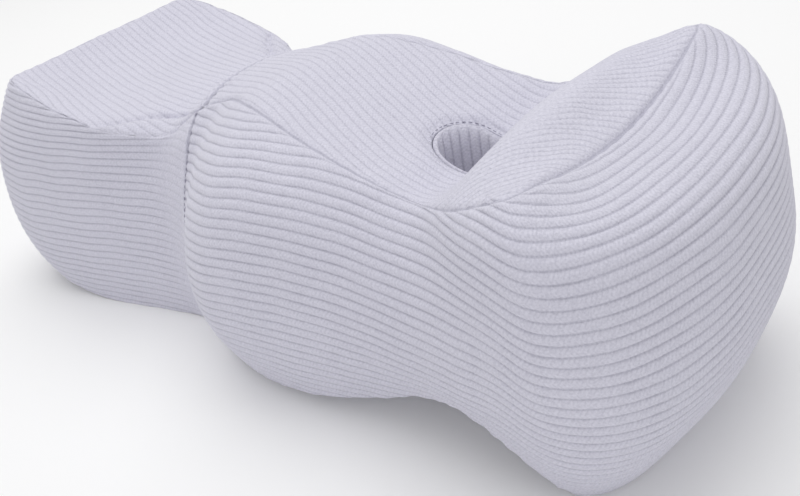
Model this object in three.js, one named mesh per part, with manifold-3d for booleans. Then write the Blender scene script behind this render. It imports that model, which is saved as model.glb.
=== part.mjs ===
// Knee pillow in ribbed knit: one filled cushion with a stitched waist, an arched underside and a
// slot right through its valley, and the strip of the same knit that lines the slot.
// Millimetres, +Z up. X runs along the pillow, from the small block (-X) to the rounded ridge (+X).
// The origin is on the surface it rests on, under the middle of its length and width.

import * as THREE from 'three';
import { mergeVertices } from 'three/addons/utils/BufferGeometryUtils.js';
import Module from 'manifold-3d';

const wasm = await Module();
wasm.setup();

// Cross-sections along the pillow. seamHalf, seamZ: half width and height of the edge seam between top
// panel and wall. crown: how far the top panel's middle stands above its seam. bellyHalf, bellyZ: the
// wall's widest line. underHalf, underZ: the seam between wall and bottom panel.
const sections = [
  { x: -218, seamHalf: 82, seamZ: 144, crown: -8, bellyHalf: 94, bellyZ: 63, underHalf: 92, underZ: 13 },
  { x: -176, seamHalf: 72, seamZ: 134, crown: -11, bellyHalf: 91, bellyZ: 65, underHalf: 91, underZ: 5 },
  { x: -129, seamHalf: 71, seamZ: 123, crown: -7, bellyHalf: 81, bellyZ: 67, underHalf: 83, underZ: -2 },
  { x: -88, seamHalf: 64, seamZ: 115, crown: 3, bellyHalf: 70, bellyZ: 67, underHalf: 72, underZ: -3 },
  { x: -64, seamHalf: 50, seamZ: 113, crown: 8, bellyHalf: 66, bellyZ: 66, underHalf: 67, underZ: -2 },
  { x: -48, seamHalf: 40, seamZ: 125, crown: 8, bellyHalf: 67, bellyZ: 64, underHalf: 66, underZ: -3 },
  { x: -31, seamHalf: 34, seamZ: 131, crown: 4, bellyHalf: 83, bellyZ: 73, underHalf: 75, underZ: -4 },
  { x: -4, seamHalf: 43, seamZ: 137, crown: 2, bellyHalf: 96, bellyZ: 83, underHalf: 85, underZ: 0 },
  { x: 43, seamHalf: 53, seamZ: 131, crown: -2, bellyHalf: 90, bellyZ: 85, underHalf: 87, underZ: 5 },
  { x: 80, seamHalf: 56, seamZ: 123, crown: -6, bellyHalf: 82, bellyZ: 81, underHalf: 79, underZ: 13 },
  { x: 108, seamHalf: 59, seamZ: 121, crown: -8, bellyHalf: 82, bellyZ: 79, underHalf: 76, underZ: 24 },
  { x: 136, seamHalf: 75, seamZ: 134, crown: 17, bellyHalf: 89, bellyZ: 82, underHalf: 82, underZ: 28 },
  { x: 159, seamHalf: 82, seamZ: 147, crown: 10, bellyHalf: 98, bellyZ: 84, underHalf: 87, underZ: 16 },
  { x: 182, seamHalf: 94, seamZ: 162, crown: -1, bellyHalf: 110, bellyZ: 82, underHalf: 94, underZ: -1 },
  { x: 205, seamHalf: 99, seamZ: 165, crown: 0, bellyHalf: 118, bellyZ: 82, underHalf: 100, underZ: -3 },
];

// Where each loop ends at the small block (-X) and at the ridge (+X): reach is the distance from the
// origin at the corners, bow how much further the middle of the end stands out, lift how much higher
// it is, and corner the exponent of the superellipse that rounds the corners (high is sharp).
const topEnds = {
  block: { reach: 185, bow: 4, lift: 6, corner: 13.5 },
  ridge: { reach: 166, bow: 3, lift: -25, corner: 16 },
};
const underEnds = {
  block: { reach: 187, bow: 4, lift: 0, corner: 13.5 },
  ridge: { reach: 185, bow: 12, lift: 0, corner: 5.2 },
};
const bellyEnds = {
  block: { reach: 224, bow: 4, lift: 0, corner: 8.6 },
  ridge: { reach: 190, bow: 36, lift: 0, corner: 6 },
};

// Exponents of the top panel's crown and of the wall's bulge, and how far the bottom panel swells. Round
// the ridge the wall is fuller above its belly: there the bulge's exponent grows to ridgeBulgePower, from
// place ridgePart.from to place ridgePart.to along the sides.
const crownPower = 2.5;
const bulgePower = 2.2;
const ridgeBulgePower = 5.4;
const ridgePart = { from: 0.6, to: 0.92 };
const underCrown = 4;

// The knit's ribs, and the seams that cut them off. No rib point lies nearer to a seam than ribClear.
const ribPitch = 4.85;
const ribDepth = 1.3;
const ribClear = 1.1;
const seamDepth = 2.2;
const seamClear = 0.012;
const nearSeam = 0.97;

// The waist seam, whose groove takes a smaller share where it crosses the edge seams.
const waistX = -48;
const waistDepth = 3.5;
const waistReach = 18;
const waistShareAtSeam = 0.6;

const slot = { x: 98, length: 42, width: 30 };
const liningThickness = 2;
const gap = 0.3;
const liningRibs = 24;
const liningRibDepth = 0.9;
const prismFoot = -20;
const prismHeight = 240;

// Steps of a sampled curve, of the slot's plain outline, and of a slope; and the distance under which
// two corners are one.
const curveSteps = 160;
const outlineSteps = 56;
const slopeStep = 0.004;
const sameCorner = 1e-4;

const knitColour = 0xd6d6e2;
const liningColour = 0xb9b9c6;

// Smooth curve through one column of the section table, straight beyond its ends: a cubic between
// each two rows, whose slope at a row is the mean of the slopes on its two sides.
const slopesOf = new Map();
function columnSlopes(name) {
  if (!slopesOf.has(name)) {
    const step = [];
    const rise = [];
    for (let i = 0; i + 1 < sections.length; i++) {
      step.push(sections[i + 1].x - sections[i].x);
      rise.push((sections[i + 1][name] - sections[i][name]) / step[i]);
    }
    const slope = sections.map((row, i) => {
      if (i === 0) return rise[0];
      if (i === sections.length - 1) return rise[i - 1];
      return (rise[i - 1] * step[i] + rise[i] * step[i - 1]) / (step[i - 1] + step[i]);
    });
    slopesOf.set(name, slope);
  }
  return slopesOf.get(name);
}
function along(name, x) {
  const slope = columnSlopes(name);
  const last = sections.length - 1;
  if (x <= sections[0].x) return sections[0][name] + slope[0] * (x - sections[0].x);
  if (x >= sections[last].x) return sections[last][name] + slope[last] * (x - sections[last].x);
  let i = 0;
  while (sections[i + 1].x < x) i++;
  const h = sections[i + 1].x - sections[i].x;
  const t = (x - sections[i].x) / h;
  const t2 = t * t;
  const t3 = t2 * t;
  return (2 * t3 - 3 * t2 + 1) * sections[i][name] + (t3 - 2 * t2 + t) * h * slope[i]
    + (3 * t2 - 2 * t3) * sections[i + 1][name] + (t3 - t2) * h * slope[i + 1];
}

// A point (a, b) of the square from -1 to 1, drawn in so that the square's rim becomes a superellipse.
function roundCorners(a, b, ends) {
  const rim = Math.max(Math.abs(a), Math.abs(b));
  if (rim === 0) return { a, b, end: ends.ridge };
  const end = a > 0 ? ends.ridge : ends.block;
  const n = end.corner;
  const norm = ((Math.abs(a) / rim) ** n + (Math.abs(b) / rim) ** n) ** (1 / n);
  const shrink = 1 + (1 / norm - 1) * rim ** 3;
  return { a: a * shrink, b: b * shrink, end };
}
function lengthwise(p) {
  const share = 1 - p.b * p.b;
  return p.a * (p.end.reach + p.end.bow * share * p.a ** 4);
}

// The top panel: seam height plus a crown that fades to nothing at the seam.
function topPoint(a, b) {
  const p = roundCorners(a, b, topEnds);
  const x = lengthwise(p);
  const fade = 1 - Math.abs(p.b) ** crownPower;
  const endLift = p.end.lift * (1 - p.b * p.b) * p.a ** 6;
  return new THREE.Vector3(x, along('seamHalf', x) * p.b, along('seamZ', x) + along('crown', x) * fade + endLift);
}

// The bottom panel, before the surface that it rests on presses it flat.
function underPoint(a, b) {
  const p = roundCorners(a, b, underEnds);
  const x = lengthwise(p);
  const fade = 1 - Math.abs(p.b) ** crownPower;
  return new THREE.Vector3(x, along('underHalf', x) * p.b, along('underZ', x) - underCrown * fade);
}

// The wall's widest line, for a point on the rim of the square.
function bellyPoint(a, b) {
  const end = a > 0 ? bellyEnds.ridge : bellyEnds.block;
  const norm = (Math.abs(a) ** end.corner + Math.abs(b) ** end.corner) ** (1 / end.corner);
  const p = { a: a / norm, b: b / norm, end };
  const x = lengthwise(p);
  return new THREE.Vector3(x, along('bellyHalf', x) * p.b, along('bellyZ', x));
}

// A place on the square's rim: 0 to 1 along the near side, 1 to 2 up the ridge's end, 2 to 3 back
// along the far side and 3 to 4 down the small block's end.
function rimPlace(u) {
  const whole = Math.floor(u);
  const side = (whole + 4) % 4;
  const t = 2 * (u - whole) - 1;
  return [[t, -1], [1, t], [-t, 1], [-1, -t]][side];
}

// The wall at rim place u and height v, from -1 at the lower seam through 0 on the belly line to 1 at
// the upper seam: the straight line between the seams, pushed out to the belly by a rounded bulge.
function wallPoint(u, v) {
  const [a, b] = rimPlace(u);
  const fuller = v > 0 ? THREE.MathUtils.smoothstep(a, ridgePart.from, ridgePart.to) : 0;
  const power = bulgePower + (ridgeBulgePower - bulgePower) * fuller;
  const top = topPoint(a, b);
  const under = underPoint(a, b);
  const middle = top.clone().add(under).multiplyScalar(0.5);
  const out = bellyPoint(a, b).sub(middle).multiplyScalar(1 - Math.abs(v) ** power);
  return top.multiplyScalar((1 + v) / 2).add(under.multiplyScalar((1 - v) / 2)).add(out);
}

// Outward normal of a surface(s, t) by its slopes either way.
function normalAt(surface, s, t, flip) {
  const d = slopeStep;
  const alongS = surface(s + d, t).sub(surface(s - d, t));
  const alongT = surface(s, t + d).sub(surface(s, t - d));
  const normal = alongS.cross(alongT).normalize();
  return flip ? normal.negate() : normal;
}

// The waist seam pulls the cloth in along a narrow groove all round, with smooth lips.
function waistPull(x) {
  const share = Math.min(Math.abs(x - waistX) / waistReach, 1);
  return waistDepth * (1 - share) ** 2 * (1 + share);
}

const points = [];
const faces = [];
function addPoint(position) {
  points.push(position);
  return points.length - 1;
}
function addFace(i, j, k, flip) {
  faces.push(flip ? [i, k, j] : [i, j, k]);
}

// One column of the cover: places t whose distance along the cloth from the middle line is a whole
// number of half ribs, with the alternate ones sunk as grooves. Ends stay out: they are seam points.
function ribPlaces(surface, middle) {
  const steps = curveSteps;
  const arc = [0];
  let previous = surface(-1);
  for (let i = 1; i <= steps; i++) {
    const next = surface(-1 + 2 * i / steps);
    arc.push(arc[i - 1] + next.distanceTo(previous));
    previous = next;
  }
  const start = Math.round((middle + 1) / 2 * steps);
  const half = ribPitch / 2;
  const first = Math.ceil((arc[0] - arc[start] + ribClear) / half);
  const last = Math.floor((arc[steps] - arc[start] - ribClear) / half);
  const places = [];
  let i = 0;
  for (let k = first; k <= last; k++) {
    const target = arc[start] + k * half;
    while (arc[i + 1] < target) i++;
    const t = -1 + 2 * (i + (target - arc[i]) / (arc[i + 1] - arc[i])) / steps;
    places.push({ t, s: k * half, sunk: k % 2 !== 0 });
  }
  return { places, low: arc[0] - arc[start], high: arc[steps] - arc[start] };
}

// A point of the cover with the waist's groove and, where it is sunk, a rib's groove. The surface that
// the pillow rests on presses whatever would be lower than it flat.
function coverPoint(surface, s, t, flip, sunk) {
  const point = surface(s, t);
  const pull = waistPull(point.x) + (sunk ? ribDepth : 0);
  point.z = Math.max(point.z, 0);
  point.addScaledVector(normalAt(surface, s, t, flip), -pull);
  point.z = Math.max(point.z, 0);
  return point;
}

// A point of an edge seam, sunk between the wall and the panel that it joins.
function seamPoint(u, v, panel) {
  const [a, b] = rimPlace(u);
  const point = wallPoint(u, v);
  const wallNormal = normalAt(wallPoint, u, v * nearSeam, false);
  const panelNormal = normalAt(panel, a * nearSeam, b * nearSeam, v < 0);
  const outward = wallNormal.add(panelNormal).normalize();
  point.z = Math.max(point.z, 0);
  point.addScaledVector(outward, -seamDepth - waistShareAtSeam * waistPull(point.x));
  point.z = Math.max(point.z, 0);
  return point;
}

// Joins two columns, left and right, from their first point to their last. Each is a list of
// { s, id } with s growing. Where the seam between their last points has more points of its own,
// the last triangle is replaced by a fan to them.
function joinColumns(left, right, flip, extra = []) {
  let i = 0;
  let j = 0;
  const made = [];
  while (i < left.length - 1 || j < right.length - 1) {
    const takeLeft = j === right.length - 1 || (i < left.length - 1 && left[i + 1].s <= right[j + 1].s);
    if (takeLeft) {
      made.push([left[i].id, right[j].id, left[i + 1].id]);
      i++;
    } else {
      made.push([left[i].id, right[j].id, right[j + 1].id]);
      j++;
    }
  }
  if (extra.length) {
    const leftEnd = left[left.length - 1].id;
    const rightEnd = right[right.length - 1].id;
    const apex = made.pop().find((id) => id !== leftEnd && id !== rightEnd);
    const chain = [leftEnd, ...extra, rightEnd];
    for (let k = 0; k + 1 < chain.length; k++) made.push([apex, chain[k + 1], chain[k]]);
  }
  for (const face of made) addFace(...face, flip);
}

// Columns along the two long sides, as places from -1 to 1, closest at the waist and the ridge.
const sideColumns = [-1, -0.93, -0.8, -0.66, -0.52, -0.4, -0.32, -0.26, -0.2, -0.11, 0.02, 0.16, 0.3, 0.43,
  0.53, 0.62, 0.7, 0.78, 0.87, 0.94, 0.98, 1];
const endColumns = [-0.86, -0.6, -0.3, 0, 0.3, 0.6, 0.86];

function buildCover() {
  const sides = sideColumns.length;
  const ends = endColumns.length;
  const rim = [
    ...sideColumns.map((a) => (a + 1) / 2),
    ...endColumns.map((b) => 1 + (b + 1) / 2),
    ...sideColumns.map((a) => 2 + (1 - a) / 2).reverse(),
    ...endColumns.map((b) => 3 + (1 - b) / 2).reverse(),
  ];
  const farStart = sides + ends;
  const topSeam = rim.map((u) => addPoint(seamPoint(u, 1, topPoint)));
  const underSeam = rim.map((u) => addPoint(seamPoint(u, -1, underPoint)));

  // More seam points on the top panel's two end columns, one for each half rib between the columns.
  const endSeam = (sign) => {
    const surface = (t) => topPoint(sign, t);
    const cuts = [-1, ...endColumns, 1];
    const found = ribPlaces(surface, 0);
    const between = cuts.slice(0, -1).map((cut, i) => found.places
      .filter((place) => place.t > cut + seamClear && place.t < cuts[i + 1] - seamClear)
      .map((place) => {
        const u = sign > 0 ? 1 + (place.t + 1) / 2 : 3 + (1 - place.t) / 2;
        return { s: place.s, id: addPoint(seamPoint(u, 1, topPoint)) };
      }));
    const arcAt = (t) => {
      let length = 0;
      for (let i = 0; i < curveSteps; i++) {
        length += surface(t * i / curveSteps).distanceTo(surface(t * (i + 1) / curveSteps));
      }
      return Math.sign(t) * length;
    };
    return { cuts, between, arcAt };
  };
  const ridgeEnd = endSeam(1);
  const blockEnd = endSeam(-1);

  // The wall, strip by strip round the rim.
  const wallColumns = rim.map((u, k) => {
    const { places, low, high } = ribPlaces((v) => wallPoint(u, v), 0);
    return [
      { s: low, id: underSeam[k] },
      ...places.map((place) => ({
        s: place.s, id: addPoint(coverPoint(wallPoint, u, place.t, false, place.sunk)),
      })),
      { s: high, id: topSeam[k] },
    ];
  });
  for (let k = 0; k < rim.length; k++) {
    const next = (k + 1) % rim.length;
    let extra = [];
    if (k >= sides - 1 && k < farStart) extra = ridgeEnd.between[k - (sides - 1)].map((point) => point.id);
    if (k >= farStart + sides - 1) {
      extra = blockEnd.between[ends - (k - (farStart + sides - 1))].map((point) => point.id).reverse();
    }
    joinColumns(wallColumns[k], wallColumns[next], false, extra);
  }

  // The two panels, column by column along the pillow.
  const rimIndex = (i) => ({ near: i, far: farStart + (sides - 1 - i) });
  const endIds = (seam, sign) => endColumns.map((b, j) => {
    const k = sign > 0 ? sides + j : farStart + sides + (ends - 1 - j);
    return seam[k];
  });
  const topColumns = sideColumns.map((a, i) => {
    const { near, far } = rimIndex(i);
    if (Math.abs(a) === 1) {
      const end = a > 0 ? ridgeEnd : blockEnd;
      const ids = [topSeam[near], ...endIds(topSeam, a), topSeam[far]];
      return end.cuts.flatMap((cut, j) => [{ s: end.arcAt(cut), id: ids[j] }, ...(end.between[j] ?? [])]);
    }
    const { places, low, high } = ribPlaces((b) => topPoint(a, b), 0);
    return [
      { s: low, id: topSeam[near] },
      ...places.map((place) => ({
        s: place.s, id: addPoint(coverPoint(topPoint, a, place.t, false, place.sunk)),
      })),
      { s: high, id: topSeam[far] },
    ];
  });
  const underColumns = sideColumns.map((a, i) => {
    const { near, far } = rimIndex(i);
    const middle = Math.abs(a) === 1
      ? endIds(underSeam, a)
      : endColumns.map((b) => addPoint(coverPoint(underPoint, a, b, true, false)));
    const ids = [underSeam[near], ...middle, underSeam[far]];
    return [-1, ...endColumns, 1].map((b, j) => ({ s: b, id: ids[j] }));
  });
  for (let i = 0; i + 1 < sides; i++) {
    joinColumns(topColumns[i], topColumns[i + 1], false);
    joinColumns(underColumns[i], underColumns[i + 1], true);
  }
}

function solidFrom(positions, triangles) {
  const mesh = new wasm.Mesh({
    numProp: 3,
    vertProperties: Float32Array.from(positions),
    triVerts: Uint32Array.from(triangles),
  });
  return new wasm.Manifold(mesh);
}

function solidFromGeometry(geometry) {
  geometry.deleteAttribute('normal');
  geometry.deleteAttribute('uv');
  const merged = mergeVertices(geometry, sameCorner);
  return solidFrom(merged.attributes.position.array, merged.index.array);
}

function geometryFrom(solid) {
  const mesh = solid.getMesh();
  const corners = new Float32Array(mesh.triVerts.length * 3);
  mesh.triVerts.forEach((vertex, i) => {
    for (let axis = 0; axis < 3; axis++) corners[3 * i + axis] = mesh.vertProperties[mesh.numProp * vertex + axis];
  });
  const geometry = new THREE.BufferGeometry();
  geometry.setAttribute('position', new THREE.BufferAttribute(corners, 3));
  geometry.computeVertexNormals();
  return geometry;
}

// An upright prism on the slot's outline, a bar with round ends, grown by offset on every side. With
// ribs, the outline is waved in and out by depth, as the lining's ribs run down into the slot.
function slotPrism(offset, ribs = 0, depth = 0) {
  const radius = slot.width / 2;
  const straight = slot.length - slot.width;
  const perimeter = 2 * straight + 2 * Math.PI * radius;
  const steps = ribs > 0 ? 2 * ribs : outlineSteps;
  const outline = new THREE.Shape();
  for (let i = 0; i < steps; i++) {
    const grown = radius + offset + (i % 2 === 0 ? 0 : -depth);
    let s = perimeter * i / steps;
    let centre = straight / 2;
    let turn = 0;
    let slide = 0;
    if (s < Math.PI * radius) {
      turn = s / radius - Math.PI / 2;
    } else if (s < Math.PI * radius + straight) {
      slide = s - Math.PI * radius;
      turn = Math.PI / 2;
    } else if (s < 2 * Math.PI * radius + straight) {
      s -= Math.PI * radius + straight;
      centre = -straight / 2;
      turn = s / radius + Math.PI / 2;
    } else {
      slide = 2 * Math.PI * radius + straight - s;
      centre = -straight / 2;
      turn = -Math.PI / 2;
    }
    const x = slot.x + centre - slide + grown * Math.cos(turn);
    const y = grown * Math.sin(turn);
    if (i === 0) outline.moveTo(x, y);
    else outline.lineTo(x, y);
  }
  outline.closePath();
  const geometry = new THREE.ExtrudeGeometry(outline, { depth: prismHeight, bevelEnabled: false, steps: 1 });
  geometry.translate(0, 0, prismFoot);
  return solidFromGeometry(geometry);
}

buildCover();
const filled = solidFrom(points.flatMap((p) => [p.x, p.y, p.z]), faces.flat());
const cushionSolid = filled.subtract(slotPrism(liningThickness + gap));
const liningSolid = filled.intersect(slotPrism(liningThickness))
  .subtract(slotPrism(0, liningRibs, liningRibDepth));

const group = new THREE.Group();
group.name = 'knee_pillow';

const cushion = new THREE.Mesh(
  geometryFrom(cushionSolid),
  new THREE.MeshStandardMaterial({ color: knitColour, roughness: 0.95, metalness: 0 }),
);
cushion.name = 'cushion';
group.add(cushion);

const slotLining = new THREE.Mesh(
  geometryFrom(liningSolid),
  new THREE.MeshStandardMaterial({ color: liningColour, roughness: 0.95, metalness: 0 }),
);
slotLining.name = 'slot_lining';
group.add(slotLining);

export default group;
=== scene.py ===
import math

import bpy
import numpy as np
from mathutils import Matrix, Vector


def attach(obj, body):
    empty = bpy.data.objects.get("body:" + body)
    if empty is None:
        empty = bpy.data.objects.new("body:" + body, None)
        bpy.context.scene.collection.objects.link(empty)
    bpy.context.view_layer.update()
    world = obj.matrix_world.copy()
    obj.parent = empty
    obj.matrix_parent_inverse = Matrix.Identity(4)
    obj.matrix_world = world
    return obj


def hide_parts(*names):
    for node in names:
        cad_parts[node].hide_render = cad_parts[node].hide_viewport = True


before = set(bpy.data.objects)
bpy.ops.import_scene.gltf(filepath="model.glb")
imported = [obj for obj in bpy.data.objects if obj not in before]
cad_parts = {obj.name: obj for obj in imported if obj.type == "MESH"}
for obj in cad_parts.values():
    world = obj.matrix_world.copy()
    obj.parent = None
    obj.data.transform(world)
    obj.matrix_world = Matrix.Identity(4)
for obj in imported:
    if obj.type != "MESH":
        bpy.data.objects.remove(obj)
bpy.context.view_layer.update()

# The foam body
# One soft moulded block of foam gives the pillow its crown, waist, valley, ridge and arched underside. The
# table has a row for each section across it, in millimetres: where its two edge seams run, and where the
# belly between them is widest. The ends are bowed out and lifted past the first and last sections, the
# small block's end by the first number of each pair and the ridge's by the second.
MM = 0.001
SECTION_NAMES = ("x", "seam_half", "seam_z", "crown", "belly_half", "belly_z", "under_half", "under_z")
SECTION_ROWS = np.array([
    (-218, 82, 144, -8, 94, 63, 92, 13),
    (-176, 72, 134, -11, 91, 65, 91, 5),
    (-129, 71, 123, -7, 81, 67, 83, -2),
    (-88, 64, 115, 3, 70, 67, 72, -3),
    (-64, 50, 113, 8, 66, 66, 67, -2),
    (-48, 40, 125, 8, 67, 64, 66, -3),
    (-31, 34, 131, 4, 83, 73, 75, -4),
    (-4, 43, 137, 2, 96, 83, 85, 0),
    (43, 53, 131, -2, 90, 85, 87, 5),
    (80, 56, 123, -6, 82, 81, 79, 13),
    (108, 59, 121, -8, 82, 79, 76, 24),
    (136, 75, 134, 17, 89, 82, 82, 28),
    (159, 82, 147, 10, 98, 84, 87, 16),
    (182, 94, 162, -1, 110, 82, 94, -1),
    (205, 99, 165, 0, 118, 82, 100, -3),
], float)
SECTIONS = dict(zip(SECTION_NAMES, SECTION_ROWS.T))
TOP_ENDS = {"reach": (185, 166), "bow": (4, 3), "lift": (6, -25), "corner": (13.5, 16)}
UNDER_ENDS = {"reach": (187, 185), "bow": (4, 12), "lift": (0, 0), "corner": (13.5, 5.2)}
BELLY_ENDS = {"reach": (224, 190), "bow": (4, 36), "lift": (0, 0), "corner": (8.6, 6)}
CROWN_POWER = 2.5
BULGE_POWER = 2.2
RIDGE_BULGE_POWER = 5.4
RIDGE_PART = (0.6, 0.92)
UNDER_CROWN = 4


def along(name, x):
    """One column of the section table at x: a cubic between rows, whose slope at a row is the weighted
    mean of the rises on its two sides, and a straight line beyond the first and last rows."""
    xs, ys = SECTIONS["x"], SECTIONS[name]
    step = np.diff(xs)
    rise = np.diff(ys) / step
    inner = (rise[:-1] * step[1:] + rise[1:] * step[:-1]) / (step[:-1] + step[1:])
    slope = np.concatenate([rise[:1], inner, rise[-1:]])
    i = np.clip(np.searchsorted(xs, x) - 1, 0, len(step) - 1)
    t = np.clip((x - xs[i]) / step[i], 0, 1)
    cubic = (
        (2 * t**3 - 3 * t**2 + 1) * ys[i]
        + (t**3 - 2 * t**2 + t) * step[i] * slope[i]
        + (3 * t**2 - 2 * t**3) * ys[i + 1]
        + (t**3 - t**2) * step[i] * slope[i + 1]
    )
    return cubic + slope[0] * np.minimum(x - xs[0], 0) + slope[-1] * np.maximum(x - xs[-1], 0)


def end_value(ends, name, a):
    """The value for the small block's end where a is below zero, and for the ridge's where it is above."""
    return np.where(a > 0, ends[name][1], ends[name][0])


def lengthwise(a, b, ends):
    """x of a place: a times the sum of the loop's reach and its bow times (1 - b^2) a^4."""
    return a * (end_value(ends, "reach", a) + end_value(ends, "bow", a) * (1 - b**2) * a**4)


def round_corners(a, b, corner):
    """Draws the square from -1 to 1 in, so that its rim is the superellipse |a|^n + |b|^n = 1. The shrinking
    grows from the middle to the rim as the third power of the larger of |a| and |b|."""
    rim = np.maximum(np.maximum(np.abs(a), np.abs(b)), 1e-9)
    norm = ((np.abs(a) / rim) ** corner + (np.abs(b) / rim) ** corner) ** (1 / corner)
    shrink = 1 + (1 / norm - 1) * rim**3
    return a * shrink, b * shrink


def top_point(a, b):
    """The top panel: the seam's height, plus the crown times 1 - |b|^2.5, plus the end's lift times
    (1 - b^2) a^6."""
    a, b = round_corners(a, b, end_value(TOP_ENDS, "corner", a))
    x = lengthwise(a, b, TOP_ENDS)
    lift = end_value(TOP_ENDS, "lift", a) * (1 - b**2) * a**6
    z = along("seam_z", x) + along("crown", x) * (1 - np.abs(b) ** CROWN_POWER) + lift
    return np.stack([x, along("seam_half", x) * b, z], -1)


def under_point(a, b):
    """The bottom panel: the seam's height, less UNDER_CROWN times 1 - |b|^2.5. The ground, which presses it
    flat, is not in it yet."""
    a, b = round_corners(a, b, end_value(UNDER_ENDS, "corner", a))
    x = lengthwise(a, b, UNDER_ENDS)
    z = along("under_z", x) - UNDER_CROWN * (1 - np.abs(b) ** CROWN_POWER)
    return np.stack([x, along("under_half", x) * b, z], -1)


def belly_point(a, b):
    """The wall's widest line: the square's rim moved straight in to the superellipse."""
    corner = end_value(BELLY_ENDS, "corner", a)
    norm = (np.abs(a) ** corner + np.abs(b) ** corner) ** (1 / corner)
    a, b = a / norm, b / norm
    x = lengthwise(a, b, BELLY_ENDS)
    return np.stack([x, along("belly_half", x) * b, along("belly_z", x)], -1)


def rim_place(u):
    """u goes round the square's rim: 0 to 1 near side, to 2 ridge end, to 3 far side, to 4 block end."""
    side = np.floor(u).astype(int) % 4
    t = 2 * (u - np.floor(u)) - 1
    one = np.ones_like(t)
    return np.choose(side, [t, one, -t, -one]), np.choose(side, [-one, t, one, -t])


def smooth_step(x, low, high):
    """0 below low, 1 above high, and 3t^2 - 2t^3 between them, with t from 0 to 1."""
    t = np.clip((x - low) / (high - low), 0, 1)
    return t * t * (3 - 2 * t)


def wall_point(u, v):
    """The straight line between the seams (v from -1 to 1), pushed out by the belly times 1 - |v|^2.2.
    Above the belly, the exponent grows to 5.4 round the ridge, where the wall is fuller."""
    a, b = rim_place(u)
    top, under, belly = top_point(a, b), under_point(a, b), belly_point(a, b)
    fuller = np.where(v > 0, smooth_step(a, *RIDGE_PART), 0)
    power = (BULGE_POWER + (RIDGE_BULGE_POWER - BULGE_POWER) * fuller)[..., None]
    v = np.asarray(v)[..., None]
    bulge = (belly - (top + under) / 2) * (1 - np.abs(v) ** power)
    return top * (1 + v) / 2 + under * (1 - v) / 2 + bulge


# The ribbed cover
# Heavy ribbed knit, pulled tight over the foam. Top panel, bottom panel and a wall strip are cut so that the
# ribs run lengthwise, and are sewn edge to edge inside out, which leaves sunk channels. A seam right round
# the waist joins the small block's cover to the main body's.
RIB_PITCH = 4.85
RIB_DEPTH = 1.15
RIB_ROUNDNESS = 0.97
BODY_RIB_SHIFT = 0.2
WAIST_X = -48


def normal_at(surface, s, t, outward=1):
    """Unit normal: the cross product of the slopes along s and t, each taken over a small step."""
    step = 0.004
    along_s = surface(s + step, t) - surface(s - step, t)
    along_t = surface(s, t + step) - surface(s, t - step)
    normal = np.cross(along_s, along_t) * outward
    return normal / np.maximum(np.linalg.norm(normal, axis=-1, keepdims=True), 1e-9)


def uneven(points, size, wavelength, seed):
    """Soft chance waves from about -size to size: a sum of sines along chance directions, whose lengths
    are round the given wavelength."""
    waves, spread = 8, 2.6
    chance = np.random.default_rng(seed)
    direction = chance.normal(size=(waves, 3))
    direction /= np.linalg.norm(direction, axis=1, keepdims=True)
    rate = 2 * np.pi / (wavelength * chance.uniform(0.7, 1.5, waves))
    phase = chance.uniform(0, 2 * np.pi, waves)
    return size * (np.sin(points @ (direction * rate[:, None]).T + phase).sum(-1) / spread)


def bell(distance, reach):
    """1 at no distance, falling as e to the power of minus the square of distance over reach."""
    return np.exp(-((distance / reach) ** 2))


def closer_at(count, marks):
    """Places from -1 to 1, in equal steps of a running total whose rate is 1 plus a bell at each mark."""
    t = np.linspace(-1, 1, 4001)
    rate = 1 + sum(gain * bell(t - place, width) for place, width, gain in marks)
    total = np.cumsum(rate)
    return np.interp(np.linspace(0, 1, count), (total - total[0]) / (total[-1] - total[0]), t)


WAIST_DEPTH = {"wall": -4.5, "top": 1.6, "under": 3.0}
WAIST_REACH = 20
WAIST_LINE_DEPTH, WAIST_LINE_REACH = 1.3, 1.3
SWELL_RISE = (8, 60)
SWELL_FADE = (-4, 22)


def waist_pull(x, part):
    """How far the cloth sinks at the waist. A wide dip goes as (1 - d)^2 (1 + d), with d the distance as a
    share of WAIST_REACH, and the seam's line is a narrow bell. On the wall the dip is a swelling."""
    distance = np.abs(x - WAIST_X)
    share = np.minimum(distance / WAIST_REACH, 1)
    line = WAIST_LINE_DEPTH * bell(distance, WAIST_LINE_REACH)
    return WAIST_DEPTH[part] * (1 - share) ** 2 * (1 + share) + line


def swell_share(z, seam_distance):
    """How much of the wall's swelling at the waist is there: none by the ground, hardly any at an edge
    seam, and all of it at mid height."""
    return smooth_step(z, *SWELL_RISE) * smooth_step(seam_distance, *SWELL_FADE)


SEAM_DEPTH = 1.4
SEAM_REACH = 1.5
SEAM_STRIP = 0.4
RIDGE_FILL, FILL_REACH = 3.0, 9
FILL_START, FILL_STOP = (1.0, 1.15), (1.85, 2.0)


def seam_pull(u, top):
    """The vector that sinks the edge seam: SEAM_DEPTH against the mean of the wall's and panel's normals,
    taken a little inside the seam."""
    a, b = rim_place(u)
    inside = 0.97
    side = 1 if top else -1
    wall = normal_at(wall_point, u, np.full_like(u, side * inside))
    panel = normal_at(top_point if top else under_point, a * inside, b * inside, side)
    outward = wall + panel
    outward /= np.linalg.norm(outward, axis=-1, keepdims=True)
    return -outward * SEAM_DEPTH


def ridge_fill(u, distance):
    """Foam pushes the cloth out on both sides of the seam along the ridge: a low bell across the seam,
    against the direction that sinks it."""
    share = smooth_step(u, *FILL_START) * (1 - smooth_step(u, *FILL_STOP)) * bell(distance, FILL_REACH)
    return seam_pull(u, True) * (-RIDGE_FILL / SEAM_DEPTH * share)[..., None]


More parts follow.
